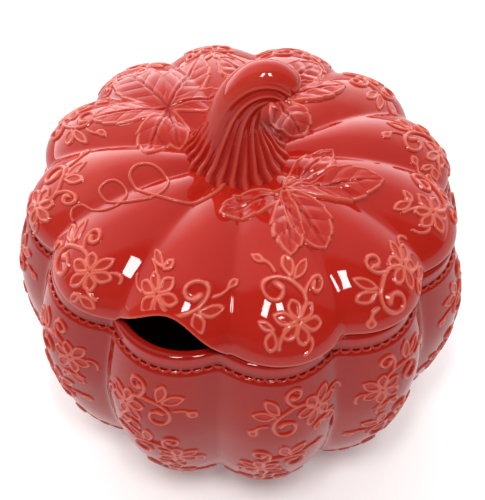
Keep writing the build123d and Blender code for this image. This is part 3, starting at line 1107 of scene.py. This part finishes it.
def stem_rings():
    line = smooth_path(STEM_LINE, STEM_ROWS)
    step = np.gradient(line[:, :2], axis=0)
    step /= np.linalg.norm(step, axis=1)[:, None]
    share = np.linspace(0, 1, STEM_ROWS)[:, None]
    around = np.linspace(0, 2 * math.pi, STEM_COLUMNS, endpoint=False)[None, :]
    twist = 0.5 * np.clip(share - 0.2, 0, 1) * 2
    back = np.cos(around - 0.2)
    many = np.abs(np.cos((around + twist) * FLUTES / 2)) ** 1.5
    few = np.abs(np.cos((around + twist) * FLUTES / 4)) ** 1.3
    merged = 0.8 * np.clip((share - 0.25) * 2.5, 0, 1)
    flute = many * (1 - merged) + few * merged
    uneven = 0.75 + 0.25 * np.sin(3 * around + 1.3) * np.cos(5 * around + 0.4)
    smooth_back = np.clip((back - 0.1) * 3, 0, 1) * np.clip((share - 0.22) * 4, 0, 1)
    depth = (2.6 * (1 - share) + 2.5 * share) * uneven * (1 - smooth_back)
    foot = np.clip(share * 14, 0.35, 1)
    radius = line[:, 2:3] - depth * foot * (1 - flute)
    end = np.clip((share - 0.93) / 0.07, 0, 1)
    radius = radius * np.sqrt(np.clip(1 - end**2, 0.0, 1)) + 0.02
    radius = radius * (1 + 0.07 * np.clip(share - 0.45, 0, 1) * np.cos(2 * around))
    x = line[:, 0:1] - step[:, 1:2] * radius * np.cos(around)
    z = line[:, 1:2] + step[:, 0:1] * radius * np.cos(around) + STEM_BASE_Z
    points = np.stack([*rotate(np.stack([x, radius * np.sin(around)], axis=-1), STEM_LEAN).T, z.T]).T
    lift = (flute * 0.95 - 0.6) * (1 - smooth_back) + 0.1 * smooth_back
    return points, lift * np.ones_like(radius)


rings, stem_lift = stem_rings()
faces = grid_faces(STEM_ROWS, STEM_COLUMNS, wrap_columns=True)
faces.append(list(range(STEM_COLUMNS))[::-1])
faces.append([(STEM_ROWS - 1) * STEM_COLUMNS + k for k in range(STEM_COLUMNS)])
stem = tidy_mesh(new_piece("stem_handle_glazed", rings.reshape(-1, 3), faces, red_glaze, stem_lift.ravel()))
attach(stem, "lid")
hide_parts("stem_handle")
print("stem:", len(stem.data.polygons), "faces, top at", round(float(rings[..., 2].max()), 1), "mm")

# %% [markdown]
# ## The beaded border
# Under the lip runs a border of small oval cups, twelve to a rib, pressed with a bead tool: a pale
# raised ring round a dark dent where the glaze has pooled. Geometry Nodes sweep one low-cost ring and
# place it on every point of a line that follows the ribs, turned along it and tipped to face outwards.

# %% Cups
CUPS_PER_RIB = 12
CUP_SIZE = (2.45, 1.55)  # half width and half height of the ring's line
CUP_LINE_R = 0.7
CUP_TIP = 46.0  # degrees that the ring is tipped outwards from lying flat
CUP_LIFT = 0.1


def make_cup_tree():
    sizes = [("Cup Size", "Vector", None), ("Line Radius", "Float", 0.0006), ("Tip", "Float", 0.9)]
    tree, entry = new_tree("cup border", [("Count", "Int", 144), *sizes])
    spaced = add(tree, "GeometryNodeResampleCurve", [("Curve", entry[0]), ("Count", entry["Count"])])
    ring = add(tree, "GeometryNodeCurvePrimitiveCircle", [("Resolution", 12), ("Radius", 1.0)])
    tipped = add(tree, "ShaderNodeCombineXYZ", [(0, entry["Tip"])])
    shaped = [("Geometry", ring), ("Rotation", tipped), ("Scale", entry["Cup Size"])]
    oval = add(tree, "GeometryNodeTransform", shaped)
    line = [("Resolution", 5), ("Radius", entry["Line Radius"])]
    section = add(tree, "GeometryNodeCurvePrimitiveCircle", line)
    cup = glazed_string(tree, oval, section, CUP_LIFT)
    along = [("Vector", add(tree, "GeometryNodeInputTangent"))]
    aim = add(tree, "FunctionNodeAlignRotationToVector", along, axis="X", pivot_axis="Z")
    links = [("Points", spaced), ("Instance", cup), ("Rotation", aim)]
    return end_tree(tree, entry, add(tree, "GeometryNodeInstanceOnPoints", links))


cup_angles = np.linspace(0, 360, 1440, endpoint=False)
cup_line = lobed_point(BORDER_R - 1.5, SHOULDER_Z + 1.2, cup_angles, 0.0, BELLY_R)
border = run_tree(
    curve_object("beaded_border_glazed", cup_line, closed=True),
    make_cup_tree(),
    Count=CUPS_PER_RIB * RIBS,
    Cup_Size=[CUP_SIZE[0] * MM, CUP_SIZE[1] * MM, CUP_SIZE[1] * MM],
    Line_Radius=CUP_LINE_R * MM,
    Tip=math.radians(CUP_TIP),
    Glaze=red_glaze,
)
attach(border, "bowl")
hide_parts("beaded_border")
print("border:", len(border.data.polygons), "faces")

# %% [markdown]
# ## Stage, light and camera
# A white sweep, as for a catalogue picture. The glaze is a mirror under its gloss, so what stands round
# it is what it shows: two tall windows high in front make the bright marks on each rib, and the room
# below makes the broad pale fields.


# %% Floor and lights
def make_floor():
    material, tree, shader, _ = new_material("white_paper")
    links = [("Base Color", (0.93, 0.93, 0.93, 1)), ("Roughness", 0.8), ("Specular IOR Level", 0.1)]
    connect(tree, shader, [*links, ("Emission Color", (1, 1, 1, 1)), ("Emission Strength", 0.16)])
    bpy.ops.mesh.primitive_plane_add(size=8)
    floor = bpy.context.object
    floor.name = "floor"
    floor.data.materials.append(material)
    return floor


make_floor()


def way_to(side_degrees, height_degrees):
    """The direction to something at a plan angle from the front and an angle above the floor."""
    side, high = math.radians(side_degrees), math.radians(height_degrees)
    return Vector((math.sin(side) * math.cos(high), -math.cos(side) * math.cos(high), math.sin(high)))


WINDOW_SIDES, WINDOW_HEIGHT = {"left_window": -2.0, "right_window": 38.0}, 68.0  # degrees
WINDOW_FAR, WINDOW_SIZE, WINDOW_POWER = 1.15, (0.13, 0.30), 4.2  # metres and watts
for name, degrees in WINDOW_SIDES.items():
    data = bpy.data.lights.new(name, "AREA")
    data.shape, data.energy = "RECTANGLE", WINDOW_POWER
    data.size, data.size_y = WINDOW_SIZE
    window, way = put(name, data), way_to(degrees, WINDOW_HEIGHT)
    window.location = WINDOW_FAR * way + Vector((0, 0, 0.12))
    window.rotation_euler = (-way).to_track_quat("-Z", "Y").to_euler()
print("windows:", list(WINDOW_SIDES))

# %% [markdown]
# The room is what the gloss mirrors: a white wall behind, a lit ceiling, and the dark side where the
# camera stands. It is a rule on the direction of view: one ramp from the front horizon over the top to
# the back one, and a gentle fall from the left to the right.

# %% The room
# Angle from the front horizon over the top, in degrees, and brightness.
ROOM = (0, 0.30), (26, 0.26), (30, 0.12), (86, 0.14), (92, 0.8), (128, 1.0), (152, 2.4), (180, 4.6)
ROOM_MAX = 4.6
ROOM_FALL = 0.45  # how much darker the right side is


def make_room(side_degrees):
    world = bpy.data.worlds.new("studio")
    world.use_nodes = True
    tree = world.node_tree
    way = add(tree, "ShaderNodeTexCoord", output="Generated")
    to_front = [("Vector", way), ("Angle", -math.radians(side_degrees))]
    turned = add(tree, "ShaderNodeVectorRotate", to_front, rotation_type="Z_AXIS")
    split = add(tree, "ShaderNodeSeparateXYZ", [(0, turned)])
    x, y, z = (Number(tree, socket) for socket in split.node.outputs)
    stops = [(degrees / 180, [level / ROOM_MAX] * 3) for degrees, level in ROOM]
    over = ramp(tree, z.maths("ARCTAN2", y * -1.0) / math.pi, stops)
    fall = ROOM_MAX - x * (ROOM_FALL * ROOM_MAX)
    connect(tree, tree.nodes["Background"], [("Color", over), ("Strength", fall)])
    return world


CAMERA_SIDE_ANGLE = 20.3  # degrees
bpy.context.scene.world = make_room(CAMERA_SIDE_ANGLE)
bpy.context.scene.view_settings.view_transform = "Standard"
print("room brightness up to", ROOM_MAX)

# %% [markdown]
# The camera stands close in front and looks steeply down, which is why the far ribs look small and the
# bowl narrows so fast below the rim.


# %% Camera
CAMERA_DISTANCE, CAMERA_HEIGHT_ANGLE = 433.5, 46.14  # mm from the rim's middle, degrees
CAMERA_TILT, CAMERA_ROLL, CAMERA_LENS = 50.6, 1.3, 59.35


def make_camera():
    data = bpy.data.cameras.new("camera")
    data.lens, data.sensor_width, data.sensor_fit = CAMERA_LENS, 36.0, "HORIZONTAL"
    data.clip_start = 0.01
    camera = put("camera", data)
    turn_side = Matrix.Rotation(math.radians(CAMERA_SIDE_ANGLE), 4, "Z")
    turn_down = Matrix.Rotation(math.radians(90 - CAMERA_TILT), 4, "X")
    turn_roll = Matrix.Rotation(math.radians(CAMERA_ROLL), 4, "Z")
    way = way_to(CAMERA_SIDE_ANGLE, CAMERA_HEIGHT_ANGLE)
    place = Matrix.Translation((Vector((0, 0, RIM_Z)) + CAMERA_DISTANCE * way) * MM)
    camera.matrix_world = place @ turn_side @ turn_down @ turn_roll
    bpy.context.scene.camera = camera


make_camera()
print("lens:", CAMERA_LENS, "mm")
